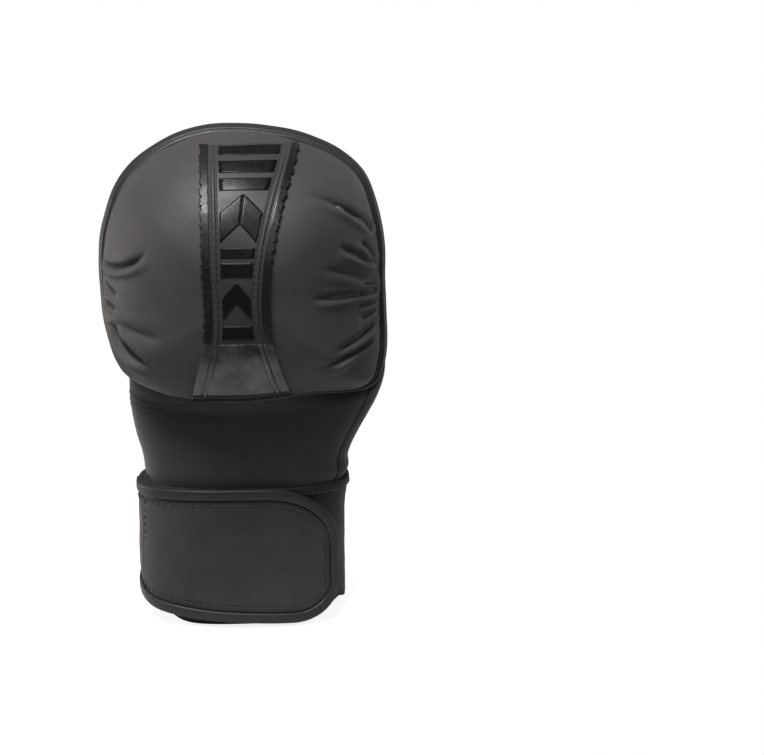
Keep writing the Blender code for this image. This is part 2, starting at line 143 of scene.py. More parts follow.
FOLDS = (      # of the dome's cover: points (x, z) from the rim inwards, half width of the crease, depth
    (((0.0675, 0.2055), (0.062, 0.212), (0.053, 0.219), (0.0415, 0.225), (0.027, 0.229)), 0.0012, 0.0016),
    (((0.0685, 0.1895), (0.06, 0.195), (0.0535, 0.199), (0.046, 0.203)), 0.0012, 0.0016),
    (((0.068, 0.1925), (0.064, 0.198), (0.0595, 0.204)), 0.0011, 0.0016),
    (((0.068, 0.181), (0.0575, 0.1865), (0.048, 0.19), (0.036, 0.1925)), 0.0016, 0.001),
    (((0.0685, 0.1785), (0.065, 0.18), (0.058, 0.1815)), 0.0008, 0.0013),
    (((0.0685, 0.176), (0.0645, 0.178), (0.057, 0.1785)), 0.0008, 0.0013),
    (((0.068, 0.175), (0.0565, 0.177), (0.048, 0.177), (0.0405, 0.1775), (0.032, 0.178)), 0.0012, 0.0019),
    (((0.0675, 0.1705), (0.062, 0.171), (0.055, 0.171)), 0.0009, 0.001),
    (((0.067, 0.166), (0.063, 0.1655), (0.0575, 0.164)), 0.001, 0.0011),
    (((0.066, 0.16), (0.062, 0.1575), (0.057, 0.155), (0.0515, 0.1525), (0.0425, 0.148)), 0.0013, 0.0017),
    (((0.0645, 0.152), (0.0565, 0.149), (0.0515, 0.147), (0.0455, 0.1445), (0.0345, 0.1425)), 0.0012, 0.0019),
    (((-0.071, 0.1895), (-0.065, 0.19), (-0.0575, 0.1925), (-0.052, 0.196), (-0.0455, 0.202)), 0.0013, 0.002),
    (((-0.066, 0.1605), (-0.064, 0.155), (-0.061, 0.1515), (-0.0555, 0.147), (-0.0505, 0.1445),
      (-0.039, 0.14)), 0.0016, 0.003),
    (((-0.063, 0.1625), (-0.055, 0.1605), (-0.048, 0.159), (-0.038, 0.157)), 0.0022, 0.0011),
    (((-0.0705, 0.1705), (-0.0675, 0.1705), (-0.063, 0.169)), 0.0009, 0.0012),
    (((-0.069, 0.1805), (-0.0675, 0.179), (-0.062, 0.176)), 0.0009, 0.0012),
)


# Materials

def rgb(value):
    return (*value, 1)


def new_material(name, colour, roughness, sheen=0.0, coat=0.0, specular=0.3):
    made = bpy.data.materials.new(name)
    made.use_nodes = True
    tree = made.node_tree
    shader = tree.nodes["Principled BSDF"]
    for key, value in (("Base Color", rgb(colour)), ("Roughness", roughness), ("Specular IOR Level", specular),
                       ("Sheen Weight", sheen), ("Sheen Roughness", 0.5), ("Coat Weight", coat),
                       ("Coat Roughness", 0.12)):
        shader.inputs[key].default_value = value
    return made, tree, shader


def node(tree, kind, **values):
    made = tree.nodes.new(kind)
    for key, value in values.items():
        if key in made.inputs:
            made.inputs[key].default_value = value
        else:
            setattr(made, key, value)
    return made


def noise(tree, place, scale, detail=3.0, roughness=0.55):
    made = node(tree, "ShaderNodeTexNoise", Scale=scale, Detail=detail, Roughness=roughness)
    tree.links.new(place, made.inputs["Vector"])
    return made.outputs["Fac"]


def ramp(tree, value, low, high, start=0.3, end=0.7):
    made = node(tree, "ShaderNodeMapRange")
    for key, number in (("From Min", start), ("From Max", end), ("To Min", low), ("To Max", high)):
        made.inputs[key].default_value = number
    tree.links.new(value, made.inputs["Value"])
    return made.outputs["Result"]


def mottled(tree, shader, part, colour, low, high):
    """The base colour varies with part, from low to high times the colour."""
    made = node(tree, "ShaderNodeMix", data_type="RGBA")
    for key, by in (("A", low), ("B", high)):
        made.inputs[key].default_value = rgb(c * by for c in colour)
    tree.links.new(part, made.inputs["Factor"])
    tree.links.new(made.outputs["Result"], shader.inputs["Base Color"])


def add_bump(tree, shader, heights):
    """heights: (value socket, strength, distance in metres), each laid on the one before."""
    normal = None
    for value, strength, distance in heights:
        bump = node(tree, "ShaderNodeBump", Strength=strength, Distance=distance)
        tree.links.new(value, bump.inputs["Height"])
        if normal:
            tree.links.new(normal, bump.inputs["Normal"])
        normal = bump.outputs["Normal"]
    tree.links.new(normal, shader.inputs["Normal"])


def leather(name, colour, roughness=0.52, grain=1500, bump=0.25, patchy=0.16):
    """Matt synthetic leather: a fine pebble, faint mottling, and a satin that varies a little."""
    made, tree, shader = new_material(name, colour, roughness, sheen=0.06)
    place = tree.nodes.new("ShaderNodeTexCoord").outputs["Object"]
    mottled(tree, shader, ramp(tree, noise(tree, place, 22, 4), 0, 1), colour, 1 - patchy, 1 + patchy)
    worn = noise(tree, place, 140, 5)
    tree.links.new(ramp(tree, worn, roughness - 0.05, roughness + 0.06), shader.inputs["Roughness"])
    pebble = node(tree, "ShaderNodeTexVoronoi", Scale=grain, feature="SMOOTH_F1", Smoothness=0.6)
    tree.links.new(place, pebble.inputs["Vector"])
    creases = noise(tree, place, 260, 6)
    add_bump(tree, shader, ((pebble.outputs["Distance"], bump, 0.00025), (creases, 0.18, 0.0004)))
    return made


def weave(name, colour, roughness=0.85, pitch=0.0011, bump=0.5, sheen=0.25):
    """Knitted face of neoprene, tape or lining: two crossed ribs with fuzz over them."""
    made, tree, shader = new_material(name, colour, roughness, sheen=sheen, specular=0.2)
    place = tree.nodes.new("ShaderNodeTexCoord").outputs["Object"]
    ribs = []
    for direction in ("X", "Z"):
        wave = node(tree, "ShaderNodeTexWave", bands_direction=direction, Scale=1 / pitch / 20 * math.pi,
                    Distortion=1.2, Detail=2.0)
        wave.inputs["Detail Scale"].default_value = 3.0
        tree.links.new(place, wave.inputs["Vector"])
        ribs.append(wave.outputs["Fac"])
    crossed = node(tree, "ShaderNodeMath", operation="MULTIPLY")
    tree.links.new(ribs[0], crossed.inputs[0])
    tree.links.new(ribs[1], crossed.inputs[1])
    fuzz = noise(tree, place, 2600, 3)
    mottled(tree, shader, ramp(tree, noise(tree, place, 35, 5), 0, 1), colour, 0.86, 1.14)
    add_bump(tree, shader, ((crossed.outputs["Value"], bump, 0.00012), (fuzz, 0.35, 0.0001)))
    return made


def film(name, colour, roughness, shine=0.5, patchy=0.22, ripple=0.12, patch=320):
    """Glossy printed film: smooth, a little uneven, with fine scuffs in its gloss."""
    made, tree, shader = new_material(name, colour, roughness, coat=0.3 * shine, specular=shine)
    place = tree.nodes.new("ShaderNodeTexCoord").outputs["Object"]
    scuff = noise(tree, place, patch, 6, 0.7)
    tree.links.new(ramp(tree, scuff, roughness * 0.8, roughness * 1.5), shader.inputs["Roughness"])
    tone = ramp(tree, noise(tree, place, 70, 4), 0, 1, 0.35, 0.65)
    mottled(tree, shader, tone, colour, 1 - patchy, 1 + patchy)
    add_bump(tree, shader, ((noise(tree, place, 420, 3), 0.12, 0.0003),
                            (noise(tree, place, 90, 3), ripple, 0.0012)))
    return made


def hook_and_loop(name, colour):
    made, tree, shader = new_material(name, colour, 0.95, sheen=0.35)
    place = tree.nodes.new("ShaderNodeTexCoord").outputs["Object"]
    tufts = node(tree, "ShaderNodeTexVoronoi", Scale=900, feature="F1")
    tree.links.new(place, tufts.inputs["Vector"])
    part = ramp(tree, tufts.outputs["Distance"], 1, 0, 0.1, 0.6)
    mottled(tree, shader, part, colour, 0.6, 1.5)
    add_bump(tree, shader, ((tufts.outputs["Distance"], 0.9, 0.0006), (noise(tree, place, 3000), 0.6, 0.0003)))
    return made


LOOKS = {                    # the record's slot named for each, and its material
    "cover": ("synthetic_leather", leather("dome_leather", (0.034, 0.0322, 0.0325), 0.60)),
    "strap": ("synthetic_leather", leather("strap_leather", (0.0225, 0.021, 0.0215), 0.54, 1300, 0.3, 0.30)),
    "palm": ("synthetic_leather", leather("palm_leather", (0.024, 0.0235, 0.025), 0.58, 1100, 0.4)),
    "band": ("synthetic_leather", leather("band_leather", (0.024, 0.023, 0.025), 0.48, 1700, 0.2)),
    "neoprene": ("neoprene", weave("neoprene_knit", (0.023, 0.0225, 0.0255))),
    "gusset": ("neoprene", weave("gusset_knit", (0.010, 0.010, 0.0125))),
    "rim": ("binding", leather("rim_leather", (0.0155, 0.015, 0.015), 0.44, 1300, 0.2)),
    "binding": ("binding", weave("binding_tape", (0.011, 0.0105, 0.011), 0.62, 0.0008, 0.35, 0.12)),
    "lining": ("lining", weave("lining_knit", (0.014, 0.014, 0.0155), 0.9, 0.0013, 0.6, 0.3)),
    "fuzz": ("hook_and_loop", hook_and_loop("loop_field", (0.016, 0.016, 0.018))),
    "film": ("gloss_film", film("gloss_print", (0.004, 0.004, 0.005), 0.27)),
    "worn_film": ("gloss_film", film("worn_print", (0.004, 0.004, 0.005), 0.40, 0.30)),
    "print": ("gloss_film", film("dull_print", (0.003, 0.003, 0.004), 0.34, 0.20)),
    # The label's colour is strongly blotched light and dark: partly worn print, partly painted reflection.
    "label": ("gloss_film", film("satin_label", (0.040, 0.036, 0.036), 0.38, 0.5, 0.85, 1.0, 90)),
    "thread": ("binding", weave("thread", (0.034, 0.032, 0.034), 0.55, 0.0004, 0.4, 0.1)),
}


# Mesh helpers

def new_object(name, data):
    made = bpy.data.objects.new(name, data)
    bpy.context.scene.collection.objects.link(made)
    return made


def bell(value):
    return np.exp(-value ** 2)


def unit(vectors):
    return vectors / np.linalg.norm(vectors, axis=-1, keepdims=True)


def stacked(*parts):
    """Points from arrays of x, y and z, spread over one another."""
    return np.stack(np.broadcast_arrays(*parts), axis=-1)


def crossed(rows, columns):
    return np.meshgrid(rows, columns, indexing="ij")


def rounded_off(share):
    """A quarter round: 0 at 0, 1 from 1 on."""
    return np.sqrt(np.clip(1 - (1 - np.clip(share, 0, 1)) ** 2, 0, 1))


def mesh_object(name, points, faces, look, body, nodes=()):
    """A smooth-shaded piece from points measured from the wrist line, its faces turned outwards.

    body is the body it rides on, or a function that is called with it instead; nodes are those it stands for.
    """
    slot, material = LOOKS[look]
    data = bpy.data.meshes.new(name)
    data.from_pydata((np.asarray(points, float) + (0, WRIST_Y, 0)).tolist(), [], faces)
    data.validate()
    corners = np.empty(len(data.loop_triangles) * 3, int)
    data.loop_triangles.foreach_get("vertices", corners)
    places = np.empty(len(data.vertices) * 3)
    data.vertices.foreach_get("co", places)
    a, b, c = np.moveaxis(places.reshape(-1, 3)[corners.reshape(-1, 3)], 1, 0)
    if np.sum(a * np.cross(b, c)) < 0:
        data.flip_normals()
    data.shade_smooth()
    data.materials.append(material)
    made = new_object(name, data)
    if callable(body):
        body(made)
    else:
        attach(made, body)
    if nodes:
        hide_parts(*nodes)
    return made


def grid_quads(rows, columns, wrap, start=0):
    quads = []
    for i in range(rows - 1):
        for j in range(columns if wrap else columns - 1):
            a, b = start + i * columns + j, start + i * columns + (j + 1) % columns
            quads.append((a, b, b + columns, a + columns))
    return quads


def thick_sheet(name, outer, inner, look, body, *nodes, wrap=False):
    """A closed solid between two matching grids (rows, columns, 3). wrap joins each row's ends."""
    rows, columns = outer.shape[:2]
    count = rows * columns
    points = np.concatenate((outer.reshape(-1, 3), inner.reshape(-1, 3)))
    faces = grid_quads(rows, columns, wrap)
    faces += [tuple(reversed(f)) for f in grid_quads(rows, columns, wrap, count)]
    last = (rows - 1) * columns
    for j in range(columns if wrap else columns - 1):
        k = (j + 1) % columns
        faces.append((j, count + j, count + k, k))
        faces.append((last + k, count + last + k, count + last + j, last + j))
    if not wrap:
        for a in range(0, last, columns):
            b = a + columns
            faces.append((b, count + b, count + a, a))
            a, b = a + columns - 1, b + columns - 1
            faces.append((a, count + a, count + b, b))
    return mesh_object(name, points, faces, look, body, nodes)


def tube(name, sections, look, body, *nodes, closed=False):
    """A solid swept through sections (steps, points round, 3), with flat ends unless the path is closed."""
    steps, around = sections.shape[:2]
    faces = grid_quads(steps, around, True)
    last = (steps - 1) * around
    if closed:
        faces += [(last + j, last + (j + 1) % around, (j + 1) % around, j) for j in range(around)]
    else:
        faces += [tuple(range(around))[::-1], tuple(range(last, last + around))]
    return mesh_object(name, sections.reshape(-1, 3), faces, look, body, nodes)


def swept(middle, first, second, a, b):
    """Sections round a path: the outline (a, b) laid along two directions at each of its points."""
    return middle[:, None] + first[:, None] * a[None, :, None] + second[..., None, :] * b[None, :, None]


def edge_steps(start, end, count, fine):
    """Even steps with extra ones at distances `fine` from both ends, for rounded edges."""
    near = np.array(fine[:-1])
    middle = np.linspace(start + fine[-1], end - fine[-1], count)
    return np.concatenate((start + near, middle, end - near[::-1]))


def smooth_part(value):
    value = np.clip(value, 0, 1)
    return value * value * (3 - 2 * value)


def wobble(values, seed, waves=(3, 7, 13, 29)):
    """A smooth made-up unevenness between about -1 and 1."""
    total = 0
    for i, wave in enumerate(waves):
        total = total + np.sin(values * wave + seed * (1.7 + i) + i * i) / (1 + 0.6 * i)
    return total / 2.2


# Ovals of wrist and hand

def oval(degrees, half_x, half_y, power=OVAL_POWER):
    turn = np.radians(degrees)
    c, s = np.cos(turn), np.sin(turn)
    return half_x * np.sign(c) * np.abs(c) ** power, half_y * np.sign(s) * np.abs(s) ** power


def oval_lengths(start, end, half_x, half_y):
    """Angles along an oval, and the distance along it at each."""
    angles = np.linspace(start, end, 4000)
    x, y = oval(angles, half_x, half_y)
    return angles, np.concatenate(([0], np.cumsum(np.hypot(np.diff(x), np.diff(y)))))


def even_angles(start, end, count):
    """Angles that lie at even distances along the oval."""
    angles, length = oval_lengths(start, end, 0.053, 0.033)
    return np.interp(np.linspace(0, length[-1], count), length, angles)


def smooth_table(table, key, column):
    """Cubic reading of a table: the slope at each row is that of its neighbours."""
    keys, values = table[:, 0], table[:, column]
    slopes = np.gradient(values, keys)
    key = np.clip(key, keys[0], keys[-1])
    i = np.clip(np.searchsorted(keys, key, side="right") - 1, 0, len(keys) - 2)
    wide = keys[i + 1] - keys[i]
    t = (key - keys[i]) / wide
    return ((2 * t**3 - 3 * t**2 + 1) * values[i] + (t**3 - 2 * t**2 + t) * wide * slopes[i]
            + (3 * t**2 - 2 * t**3) * values[i + 1] + (t**3 - t**2) * wide * slopes[i + 1])


def hand_surface(angle, z, deep):
    centre, half_x, half_y = (smooth_table(HAND_SECTIONS, z, column) for column in (1, 2, 3))
    x, y = oval(angle, half_x - deep, half_y - deep)
    return stacked(x + centre, y, z)


# Stitches

def stitches(name, path, normals, body, length=0.0028, gap=0.0012, radius=0.00038):
    """A row of sewn stitches: short rounded bars along a path that lies on a surface."""
    path = np.asarray(path)
    travel = np.concatenate(([0], np.cumsum(np.linalg.norm(np.diff(path, axis=0), axis=1))))
    middles = (np.arange(int(travel[-1] // (length + gap))) + 0.5) * (length + gap)

    def along_path(values, places):
        return np.stack([np.interp(places, travel, values[:, k]) for k in range(3)], axis=1)

    centre = along_path(path, middles)
    along = unit(along_path(path, middles + length / 2) - centre)
    up = unit(along_path(normals, middles))
    side = np.cross(up, along)
    ring = np.linspace(0, 2 * math.pi, 7)[:-1]
    profile = np.array(((-0.5, 0.35, -0.9), (-0.42, 0.85, -0.2), (-0.15, 1.0, 0.25), (0.15, 1.0, 0.25),
                        (0.42, 0.85, -0.2), (0.5, 0.35, -0.9)))
    part, wide, high = profile.T[:, None, :, None, None]
    turn = ring[None, None, :, None]
    points = (centre[:, None, None] + along[:, None, None] * part * length + up[:, None, None] * high * radius
              + radius * wide * (side[:, None, None] * np.cos(turn) + up[:, None, None] * np.sin(turn)))
    around, levels = len(ring), len(profile)
    faces = []
    for i in range(len(middles)):
        first = i * around * levels
        last = first + (levels - 1) * around
        faces.append(tuple(range(first + around - 1, first - 1, -1)))
        faces.append(tuple(range(last, last + around)))
        faces += grid_quads(levels, around, True, first)
    mesh_object(name, points.reshape(-1, 3), faces, "thread", body)


# Dome

def catmull(points, samples):
    """A closed smooth curve through the points."""
    t = (np.arange(samples) / samples)[:, None]
    rows = []
    for i in range(len(points)):
        a, b, c, d = (points[(i + k) % len(points)] for k in (-1, 0, 1, 2))
        rows.append(0.5 * (2 * b + (c - a) * t + (2 * a - 5 * b + 4 * c - d) * t**2
                           + (3 * b - a - 3 * c + d) * t**3))
    return np.concatenate(rows)


def rim_table():
    curve = catmull(RIM_POINTS, 24)
    angle = np.degrees(np.arctan2(curve[:, 2] - DOME_Z, curve[:, 0])) % 360
    order = np.argsort(angle)
    radius = np.hypot(curve[:, 0], curve[:, 2] - DOME_Z)
    return angle[order], radius[order], curve[order, 1]


RIM_ANGLE, RIM_RADIUS, RIM_Y = rim_table()


def lip_at(angle):
    return np.interp(np.mod(angle, 360), RIM_LIP[:, 0], RIM_LIP[:, 1])


def rim_at(angle):
    angle = np.mod(angle, 360)
    return (np.interp(angle, RIM_ANGLE, RIM_RADIUS, period=360),
            np.interp(angle, RIM_ANGLE, RIM_Y, period=360))


def dome_base(angle, out, inner=False):
    """The smooth dome: angle round it in degrees, out from 0 at the crown to 1 at the rim."""
    radius, rim_y = rim_at(angle)
    turn = np.radians(angle)
    bend = np.clip(out, 0, 1) * math.pi / 2
    spread = np.sin(bend) ** DOME_POWER
    rise = np.maximum(0, np.cos(bend)) ** DOME_POWER
    reach = radius - lip_at(angle) - (RIM_WALL if inner else 0)
    crown = CROWN_INNER_Y if inner else CROWN_OUTER_Y
    far = reach * spread
    return np.stack((far * np.cos(turn), rim_y + (crown - rim_y) * rise, DOME_Z + far * np.sin(turn)), axis=-1)


def dome_normal(angle, out):
    half = 0.6
    turn = dome_base(angle + half, out) - dome_base(angle - half, out)
    inward = np.maximum(out - 0.012, 0.002)
    outward = np.minimum(out + 0.012, 0.999)
    slope = dome_base(angle, outward) - dome_base(angle, inward)
    normal = np.cross(turn, slope)
    size = np.linalg.norm(normal, axis=-1, keepdims=True)
    normal = normal / np.maximum(size, 1e-12)
    normal[size[..., 0] < 1e-9] = (0, -1, 0)
    away = dome_base(angle, out) - np.array((0, 0, DOME_Z))
    facing = np.sign(np.sum(normal * away, axis=-1, keepdims=True))
    return normal * np.where(facing == 0, 1, facing)


def fold_relief(x, z, points, half_width, depth):
    """Height of one fold over (x, z): a sharp crease in a soft hollow, with a ridge to either side."""
    points = np.array(points)
    t = np.linspace(0, len(points) - 1, 60)
    line = [np.interp(t, np.arange(len(points)), points[:, k]) for k in (0, 1)]
    line = np.stack([np.convolve(np.pad(values, 5, "edge"), np.ones(11) / 11, "valid") for values in line], axis=1)
    apart = np.hypot(x[..., None] - line[:, 0], z[..., None] - line[:, 1])
    nearest = np.argmin(apart, axis=-1)
    distance = np.take_along_axis(apart, nearest[..., None], axis=-1)[..., 0]
    part = nearest / (len(line) - 1)
    fade = smooth_part((1 - part) / 0.40) * (0.60 + 0.40 * smooth_part(part / 0.3))
    wide = half_width * (0.72 + 0.25 * part)
    crease = -0.90 * bell(distance / wide) - 0.42 * bell(distance / (3.2 * wide))
    below = np.where(z < line[nearest, 1], 1.0, 0.45)
    ridge = 0.70 * below * bell((distance - 3.0 * wide) / (1.9 * wide))
    return depth * fade * (crease + ridge)


def gather_relief(angle, out):
    """Puckers along the rim, where the cover is gathered into its binding: deepest at the sides, none alike."""
    sides = bell(((angle + 180) % 360 - 180 - 2) / 30) + 0.6 * bell((angle - 182) / 28)
    low = 0.35 * bell((angle - 215) / 22) + 0.35 * bell((angle - 322) / 22)
    amount = 0.00008 + 0.00050 * np.clip(sides + low, 0, 1.2)
    turn = np.radians(angle)
    swell = 0.55 + 0.45 * np.sin(turn * 13 + 1.9) * np.sin(turn * 7 + 0.6)
    fine = np.abs(np.sin(turn * 41 + 2.6 * np.sin(turn * 6)))
    fine = fine + 0.7 * np.abs(np.sin(turn * 67 + 2.1 * np.sin(turn * 9)))
    reach = 0.11 + 0.05 * np.sin(turn * 11)
    return amount * swell * (fine - 1.1) * np.exp(-((1 - out) / reach) ** 1.3) * smooth_part((1 - out) / 0.03)


def dome_relief(angle, out, x, z):
    total = gather_relief(angle, out)
    for points, half_width, depth in FOLDS:
        total = total + fold_relief(x, z, points, half_width, depth)
    slack = np.sin(x * 95 + 1.3) * np.sin(z * 80 + 0.4) + 0.5 * np.sin(x * 190 + z * 60) * np.sin(z * 170)
    return total + 0.00035 * slack


def dome_surface(angle, out, lift=0.0):
    base = dome_base(angle, out)
    relief = dome_relief(angle, out, base[..., 0], base[..., 2])
    return base + dome_normal(angle, out) * (relief + lift)[..., None]


def dome_place(x, z, inner=False):
    """(angle, out) of the dome over (x, z)."""
    angle = np.degrees(np.arctan2(z - DOME_Z, x)) % 360
    reach = rim_at(angle)[0] - lip_at(angle) - (RIM_WALL if inner else 0)
    spread = np.clip(np.hypot(x, z - DOME_Z) / reach, 0, 1)
    return angle, np.arcsin(spread ** (1 / DOME_POWER)) / (math.pi / 2)


def on_dome(x, z, lift):
    x, z = np.broadcast_arrays(np.asarray(x, float), np.asarray(z, float))
    angle, out = dome_place(x, z)
    return dome_surface(angle, out, lift + np.zeros_like(x))


def dome_sheet(name, outer_rows, inner_rows, look, body, *nodes):
    """A closed shell over the dome: rows from the rim in, the last one a single crown point."""
    columns = outer_rows[0].shape[0]
    points, faces = [], []
    starts = []
    for rows in (outer_rows, inner_rows):
        start = len(points)
        starts.append(start)
        for row in rows:
            points += [tuple(p) for p in row]
        quads = grid_quads(len(rows) - 1, columns, True, start)
        pole = start + (len(rows) - 1) * columns
        last = start + (len(rows) - 2) * columns
        quads += [(last + j, last + (j + 1) % columns, pole) for j in range(columns)]
        faces += quads if rows is outer_rows else [tuple(reversed(f)) for f in quads]
    a, b = starts
    for j in range(columns):
        k = (j + 1) % columns
        faces.append((a + j, b + j, b + k, a + k))
    return mesh_object(name, points, faces, look, body, nodes)


def make_cover():
    angles = np.linspace(0, 360, 800, endpoint=False)
    outs = np.concatenate((np.linspace(1, 0.6, 110), np.linspace(0.5965, 0.03, 110)))
    outer = [dome_surface(angles, np.full_like(angles, out)) for out in outs]
    inner = []
    for out in np.linspace(1, 0.03, 12):
        level = np.full_like(angles, out)
        inner.append(dome_base(angles, level) - dome_normal(angles, level) * 2 * COVER_THICK)
    crown = dome_surface(np.array([0.0]), np.array([0.001]))
    outer.append(crown)
    inner.append(crown + np.array((0, COVER_THICK, 0)))
    made = dome_sheet("pad_cover_gathered", outer, inner, "cover", "hand", "pad_cover")


def make_pad_lining():
    angles = np.linspace(0, 360, 180, endpoint=False)
    thick = np.array((0, 0.0013, 0))
    outs = np.concatenate((np.linspace(1, 0.8, 12), np.linspace(0.78, 0.05, 44)))
    outer, inner = [], []
    for out in outs:
        level = np.full_like(angles, out)
        face = dome_base(angles, level, inner=True)
        ripple = 0.0004 * np.sin(face[:, 0] * 210 + 3 * np.sin(face[:, 2] * 60)) * np.sin(face[:, 2] * 150)
        away = np.array((0, 0, DOME_Z)) - face
        away[:, 1] = 0.03
        away = unit(away)
        inner.append(face + away * ripple[:, None])
        outer.append(face - away * thick[1])
    middle = dome_base(np.array([0.0]), np.array([0.0001]), inner=True)
    inner.append(middle)
    outer.append(middle - thick)
    dome_sheet("pad_lining_cloth", outer, inner, "lining", "hand", "pad_lining")


def rounded_section(half_a, half_b, count=28, power=0.5, groove=None):
    """Points round a soft-cornered rectangle, as (a, b). groove: (direction in degrees, depth)."""
    turn = np.linspace(0, 360, count, endpoint=False)
    a, b = oval(turn, half_a, half_b, power)
    if groove:
        pull = 1 - groove[1] * bell(((turn - groove[0] + 180) % 360 - 180) / 9)
        a, b = a * pull, b * pull
    return a, b


def make_rim():
    angles = np.linspace(0, 360, 520, endpoint=False)
    radius, rim_y = rim_at(angles)
    turn = np.radians(angles)
    wide, deep = RIM_WIDE + 0.0030, RIM_DEEP + 0.0016
    a, b = rounded_section(wide / 2, deep / 2, 36, 0.6, groove=(305, 0.16))
    centre_radius = radius - wide / 2 + 0.0003 * wobble(turn, 2.0, (5, 11, 23))
    centre_y = rim_y + RIM_DEEP / 2 - 0.0006 + 0.0004 * wobble(turn, 4.0, (4, 9, 17))
    lean = 0.0012 * np.clip(-b / RIM_DEEP * 2, -1, 1)
    far = centre_radius[:, None] + a - lean
    turn = turn[:, None]
    sections = stacked(far * np.cos(turn), centre_y[:, None] + b, DOME_Z + far * np.sin(turn))
    tube("pad_rim_bound", sections, "rim", "hand", "pad_rim_binding", closed=True)


# Band down the dome

def band_x(side, z):
    return smooth_table(BAND_EDGES, z, 1 + side)


def band_low(x):
    """Height of the pad's lower edge under x, a little inside the cover."""
    angle = np.degrees(np.arctan2(BAND_EDGES[0, 0] - DOME_Z, x)) % 360
    reach = rim_at(angle)[0] - lip_at(angle) - 0.0012
    return DOME_Z - np.sqrt(reach**2 - x**2)


def band_places(parts, across, top):
    """(x, z) over a stretch of the band, from the pad's lower edge to a height; both shares run 0 to 1."""
    part_grid, across_grid = crossed(parts, across)
    level = BAND_EDGES[0, 0] + (top - BAND_EDGES[0, 0]) * part_grid
    x = band_x(0, level) * (1 - across_grid) + band_x(1, level) * across_grid
    low = band_low(x)
    return x, low + (top - low) * part_grid


def channel(distance):
    """Height of the band at a distance from its edge: a doubled seam with a ridge between two needle lines."""
    lines = sum(bell((distance - seam) / 0.0005) for seam in BAND_SEAMS)
    return 0.00035 * bell((distance - 0.0060) / 0.0009) - 0.00055 * lines


def from_edges(x, across):
    """Distance of each point of the band from its nearer edge; across is its share of the width."""
    return np.minimum(across, 1 - across)[None, :] * (x[:, -1:] - x[:, :1])


def dome_patch(name, x, z, high, low, look, *nodes):
    """A thin piece over the dome, between two heights above its cover."""
    thick_sheet(name, on_dome(x, z, high), on_dome(x, z, low), look, "hand", *nodes)


def make_band():
    ends = (math.asin((level - DOME_Z) / BAND_ARC) for level in (BAND_EDGES[0, 0], BAND_TOP))
    heights = DOME_Z + BAND_ARC * np.sin(np.linspace(*ends, 170))
    across = np.linspace(0, 1, 120)
    x, z = band_places((heights - heights[0]) / (heights[-1] - heights[0]), across, BAND_TOP)
    from_edge = from_edges(x, across)
    lift = 0.0004 + 0.0007 * rounded_off(from_edge / 0.0010) + channel(from_edge)
    dome_patch("centre_band_sewn", x, z, lift, 0.0002, "band", "centre_band")


def make_band_stitches():
    z = np.linspace(BAND_EDGES[0, 0] + 0.003, BAND_TOP - 0.001, 240)
    for side, name in enumerate(("left", "right")):
        for line, inset in zip(("outer", "inner"), BAND_SEAMS):
            x = band_x(side, z) + inset * (1 - 2 * side)
            stitches(f"band_stitch_{name}_{line}", on_dome(x, z, 0.0006), dome_normal(*dome_place(x, z)),
                     "hand", length=0.0024, gap=0.0009, radius=0.00028)


def make_bars():
    """The band's printed edges, worn ragged on their outer side."""
    z = np.linspace(LABEL_TOP + 0.0005, BAND_TOP - 0.0004, 420)[:, None]
    part = np.linspace(0, 1, 8)
    for side, name, look in ((0, "left", "worn_film"), (1, "right", "film")):
        edge, inward = band_x(side, z), 1 - 2 * side
        rough = 0.0011 * np.abs(wobble(z * 100, 1.0 + 3 * side, (8, 19, 41)))
        rough = rough + 0.0004 * np.tanh(6 * wobble(z * 100, 5.0 + side, (13, 31)))
        x = (edge + inward * (rough - 0.0006)) * (1 - part) + (edge + inward * (BAR_WIDE - 0.0003)) * part
        dome_patch(f"bar_{name}_print", x, z + 0 * x, 0.0015, 0.0011, look, f"band_bar_{name}")


def block(name, corners, rough_seed):
    """A printed block. Corners are (share of the band's inner width, z), counter-clockwise from low left."""
    s, t = np.meshgrid(np.linspace(0, 1, 10), np.linspace(0, 1, 14))
    weights = ((1 - s) * (1 - t), s * (1 - t), s * t, (1 - s) * t)
    share, z = (sum(weight * corner[k] for weight, corner in zip(weights, corners)) for k in (0, 1))
    share = share + 0.010 * wobble(t * 6, rough_seed, (3, 7, 15)) * (2 * s - 1)
    left, right = band_x(0, z) + BAND_INNER, band_x(1, z) - BAND_INNER
    dome_patch(name, left + (right - left) * share, z, 0.0014, 0.0009, "print")


def make_blocks():
    """Plain bars and chevrons, which stand for the band's printing."""
    bars = ((0.1592, 0.1662), (0.1900, 0.1968), (0.1992, 0.2038), (0.2298, 0.2350), (0.2374, 0.2424),
            (0.2450, 0.2486))
    for i, (low, high) in enumerate(bars):
        block(f"print_bar_{i + 1}", ((0.02, low), (0.98, low), (0.98, high), (0.02, high)), 2.0 + i)
    chevrons = ((0.1690, 0.0105), (0.2062, 0.0135))
    for i, (low, tall) in enumerate(chevrons):
        peak = low + 0.0085
        block(f"print_chevron_{i + 1}_left",
              ((0.02, low), (0.495, peak), (0.495, peak + tall), (0.02, low + tall)), 6.0 + i)
        block(f"print_chevron_{i + 1}_right",
              ((0.505, peak), (0.98, low), (0.98, low + tall), (0.505, peak + tall)), 8.0 + i)


def make_label():
    across = np.linspace(0, 1, 90)
    start = 0.0034 / (LABEL_TOP - BAND_EDGES[0, 0])
    x, z = band_places(np.linspace(start, 1, 90), across * 0.99 + 0.005, LABEL_TOP)
    lift = 0.0013 + channel(from_edges(x, across))
    dome_patch("band_label_film", x, z, lift, PRINT_BACK, "label", "band_label")
    ragged = 0.010 * wobble(np.linspace(0, 9, 10), 3.0)[:, None] * np.sign(across - 0.5)[None, :]
    x, z = band_places(np.linspace(0.01, start * 0.97, 10), across, LABEL_TOP)
    dome_patch("band_end_print", x * (1 + ragged), z, 0.0017, PRINT_BACK, "film")


# Hand panels

